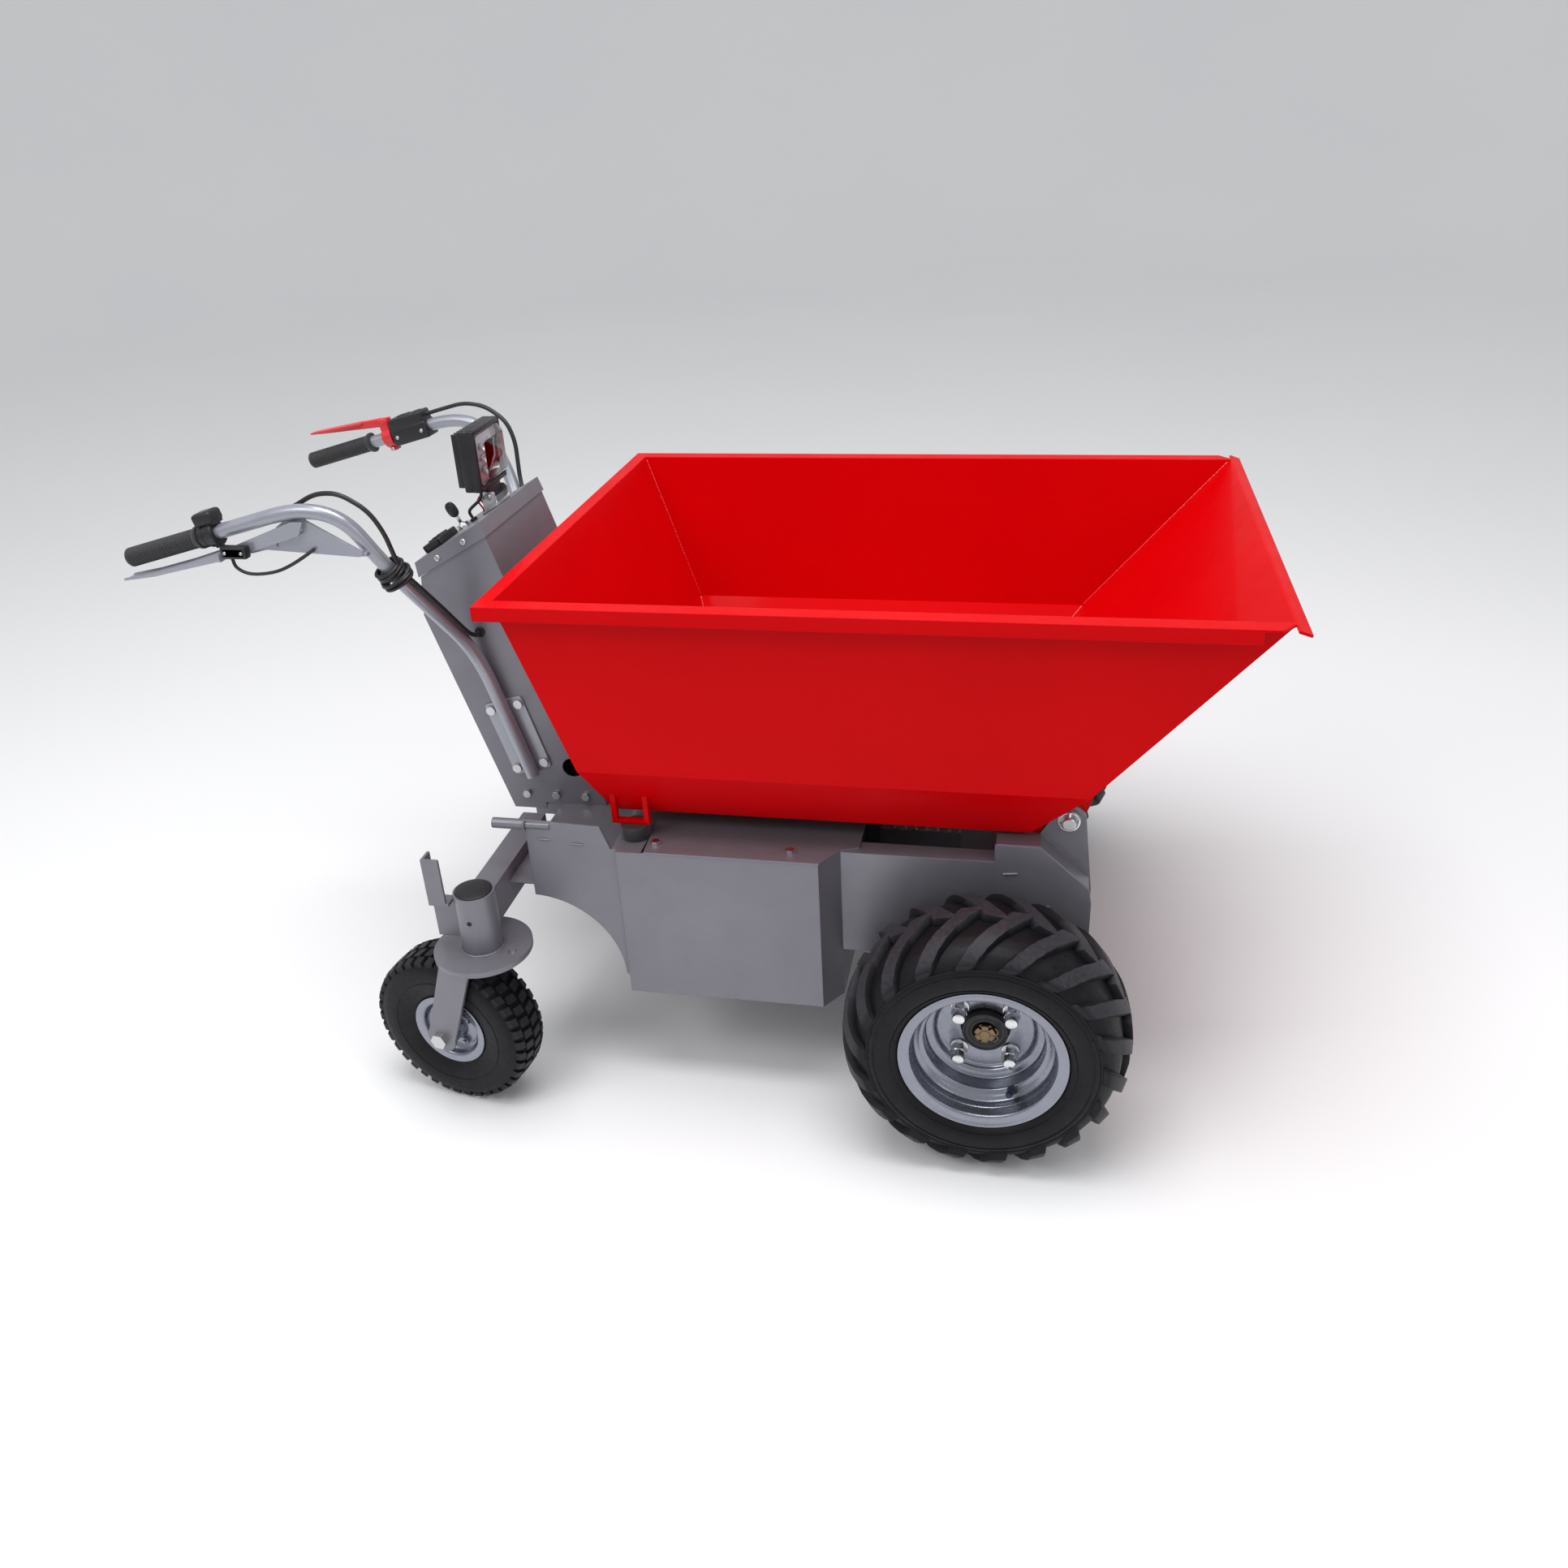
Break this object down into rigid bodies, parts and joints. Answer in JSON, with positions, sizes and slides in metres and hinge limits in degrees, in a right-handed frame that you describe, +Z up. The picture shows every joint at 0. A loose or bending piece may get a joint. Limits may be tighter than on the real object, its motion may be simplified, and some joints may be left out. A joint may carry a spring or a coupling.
{
  "type": "power wheelbarrow",
  "caption": "Battery-driven wheelbarrow with a forward-tipping steel hopper, powered front wheels, swivel casters and a handlebar console",
  "frame": {"origin": "centre of the bounding box's footprint, on the ground", "axes": "+X forward, toward the tipping end; +Y left; +Z up"},
  "size_m": [1.6565, 1.0168, 0.948],
  "materials": {
    "steel_grey": "satin powder coat",
    "hopper_red": "gloss powder coat",
    "zinc": "zinc plated",
    "black_plastic": "moulded, satin",
    "black_rubber": "matt",
    "tyre_black": "matt, dusty",
    "rim_silver": "silver paint",
    "lever_red": "satin",
    "lens_clear": "clear, polished",
    "cast_dark": "as cast, oiled"
  },
  "bodies": {
    "chassis": {"chassis_frame": "steel_grey", "chassis_tub": "steel_grey", "battery_cover": "steel_grey", "hex_bolts": "zinc", "batteries": "black_plastic", "motor_controller": "zinc", "transaxle": "cast_dark", "drive_motor": "steel_grey", "pivot_pins": "zinc", "linch_pins": "zinc", "rest_buffers": "black_rubber", "kingpin_caps": "black_plastic", "lock_brackets": "steel_grey", "column_shell": "steel_grey", "column_back": "steel_grey", "console_cap": "steel_grey", "console_screws": "zinc", "key_switch": "black_plastic", "rocker_housing": "black_plastic", "handle_right": "steel_grey", "handle_left": "steel_grey", "handle_bolts": "zinc", "grip_right": "black_rubber", "grip_left": "black_rubber", "throttle_housing": "black_plastic", "stop_switch": "black_plastic", "switch_block": "black_plastic", "brake_lever_mount": "lever_red", "lamp_bracket": "black_plastic", "cable_glands": "black_plastic", "throttle_cable": "black_rubber", "switch_cable": "black_rubber", "stop_switch_cable": "black_rubber", "lamp_cable": "black_rubber", "cable_wrap": "black_plastic"},
    "hopper_box": {"hopper": "hopper_red", "hopper_fittings": "hopper_red"},
    "key": {"ignition_key": "black_plastic"},
    "rocker_button": {"rocker": "black_plastic"},
    "thumb": {"throttle_thumb": "black_plastic"},
    "stop": {"stop_lever": "steel_grey"},
    "brake": {"brake_lever": "lever_red"},
    "lamp": {"lamp_housing": "black_plastic", "lamp_lens": "lens_clear"},
    "drive_wheel_right": {"drive_tyre_right": "tyre_black", "drive_rim_right": "rim_silver", "drive_hub_right": "cast_dark", "wheel_nuts_right": "zinc"},
    "caster_right": {"caster_fork_right": "steel_grey", "caster_bolt_right": "zinc"},
    "caster_wheel_right": {"caster_tyre_right": "tyre_black", "caster_rim_right": "rim_silver"},
    "drive_wheel_left": {"drive_tyre_left": "tyre_black", "drive_rim_left": "rim_silver", "drive_hub_left": "cast_dark", "wheel_nuts_left": "zinc"},
    "caster_left": {"caster_fork_left": "steel_grey", "caster_bolt_left": "zinc"},
    "caster_wheel_left": {"caster_tyre_left": "tyre_black", "caster_rim_left": "rim_silver"}
  },
  "joints": [
    {"name": "hopper_tip", "type": "hinge", "parent": "chassis", "child": "hopper_box", "pos_m": [0.566, 0, 0.472], "axis": [0, 1, 0], "range_deg": [0, 60]},
    {"name": "drive_wheel_right_turn", "type": "hinge", "parent": "chassis", "child": "drive_wheel_right", "pos_m": [0.465, -0.4245, 0.202], "axis": [0, 1, 0], "continuous": true},
    {"name": "caster_right_swivel", "type": "hinge", "parent": "chassis", "child": "caster_right", "pos_m": [-0.274, -0.433, 0.3], "axis": [0, 0, 1], "continuous": true},
    {"name": "caster_wheel_right_turn", "type": "hinge", "parent": "caster_right", "child": "caster_wheel_right", "pos_m": [-0.34195, -0.42102, 0.131], "axis": [0.1736, 0.9848, 0], "continuous": true},
    {"name": "drive_wheel_left_turn", "type": "hinge", "parent": "chassis", "child": "drive_wheel_left", "pos_m": [0.465, 0.4245, 0.202], "axis": [0, 1, 0], "continuous": true},
    {"name": "caster_left_swivel", "type": "hinge", "parent": "chassis", "child": "caster_left", "pos_m": [-0.274, 0.433, 0.3], "axis": [0, 0, 1], "continuous": true},
    {"name": "caster_wheel_left_turn", "type": "hinge", "parent": "caster_left", "child": "caster_wheel_left", "pos_m": [-0.34195, 0.44498, 0.131], "axis": [0.1736, 0.9848, 0], "continuous": true},
    {"name": "key_turn", "type": "hinge", "parent": "chassis", "child": "key", "pos_m": [-0.4014, -0.01, 0.7881], "axis": [-0.4924, 0, 0.8704], "range_deg": [0, 45]},
    {"name": "rocker_rock", "type": "hinge", "parent": "chassis", "child": "rocker_button", "pos_m": [-0.41905, -0.068, 0.7908], "axis": [0.8704, 0, 0.4924], "range_deg": [-10, 10]},
    {"name": "thumb_press", "type": "hinge", "parent": "chassis", "child": "thumb", "pos_m": [-0.6796, -0.267, 0.8552], "axis": [-0.9659, 0, -0.2588], "range_deg": [0, 40], "stiffness_Nm_per_rad": 0.25, "springref_deg": -34.38},
    {"name": "stop_squeeze", "type": "hinge", "parent": "chassis", "child": "stop", "pos_m": [-0.575, -0.267, 0.848], "axis": [0, 1, 0], "range_deg": [0, 2], "stiffness_Nm_per_rad": 12, "springref_deg": -11.46},
    {"name": "brake_squeeze", "type": "hinge", "parent": "chassis", "child": "brake", "pos_m": [-0.6567, 0.267, 0.8893], "axis": [0, -1, 0], "range_deg": [0, 9], "stiffness_Nm_per_rad": 4, "springref_deg": -17.19},
    {"name": "lamp_tilt", "type": "hinge", "parent": "chassis", "child": "lamp", "pos_m": [-0.351, 0.015, 0.838], "axis": [0, 1, 0], "range_deg": [-10, 20]}
  ]
}
